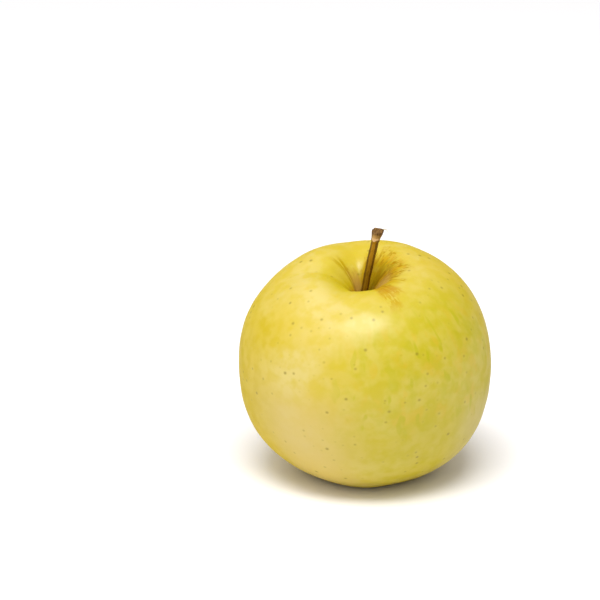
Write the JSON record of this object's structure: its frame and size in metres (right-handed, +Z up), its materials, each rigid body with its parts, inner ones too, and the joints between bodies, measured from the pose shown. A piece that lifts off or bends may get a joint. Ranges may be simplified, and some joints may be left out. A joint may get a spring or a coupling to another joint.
{
  "type": "whole apple",
  "caption": "Round dessert fruit with a yellow skin, a woody stalk in a funnel-shaped hollow at the top and dried sepals in a ribbed basin underneath.",
  "frame": {"origin": "on the surface it stands on, under the middle of the whole part's outline seen from above", "axes": "+Z up, from the eye to the stalk end; -Y to the front, the side that the stalk end leans to; +X to the right seen from the front"},
  "size_m": [0.0746, 0.0748, 0.077],
  "materials": {
    "skin": "waxy yellow fruit skin with small brown dots, satin",
    "bark": "olive-brown bark, finely ridged along its length, dull",
    "dried_sepal": "dry grey-brown leaf, rough"
  },
  "bodies": {
    "root": {"fruit": "skin", "stalk": "bark", "calyx": "dried_sepal"}
  },
  "joints": []
}
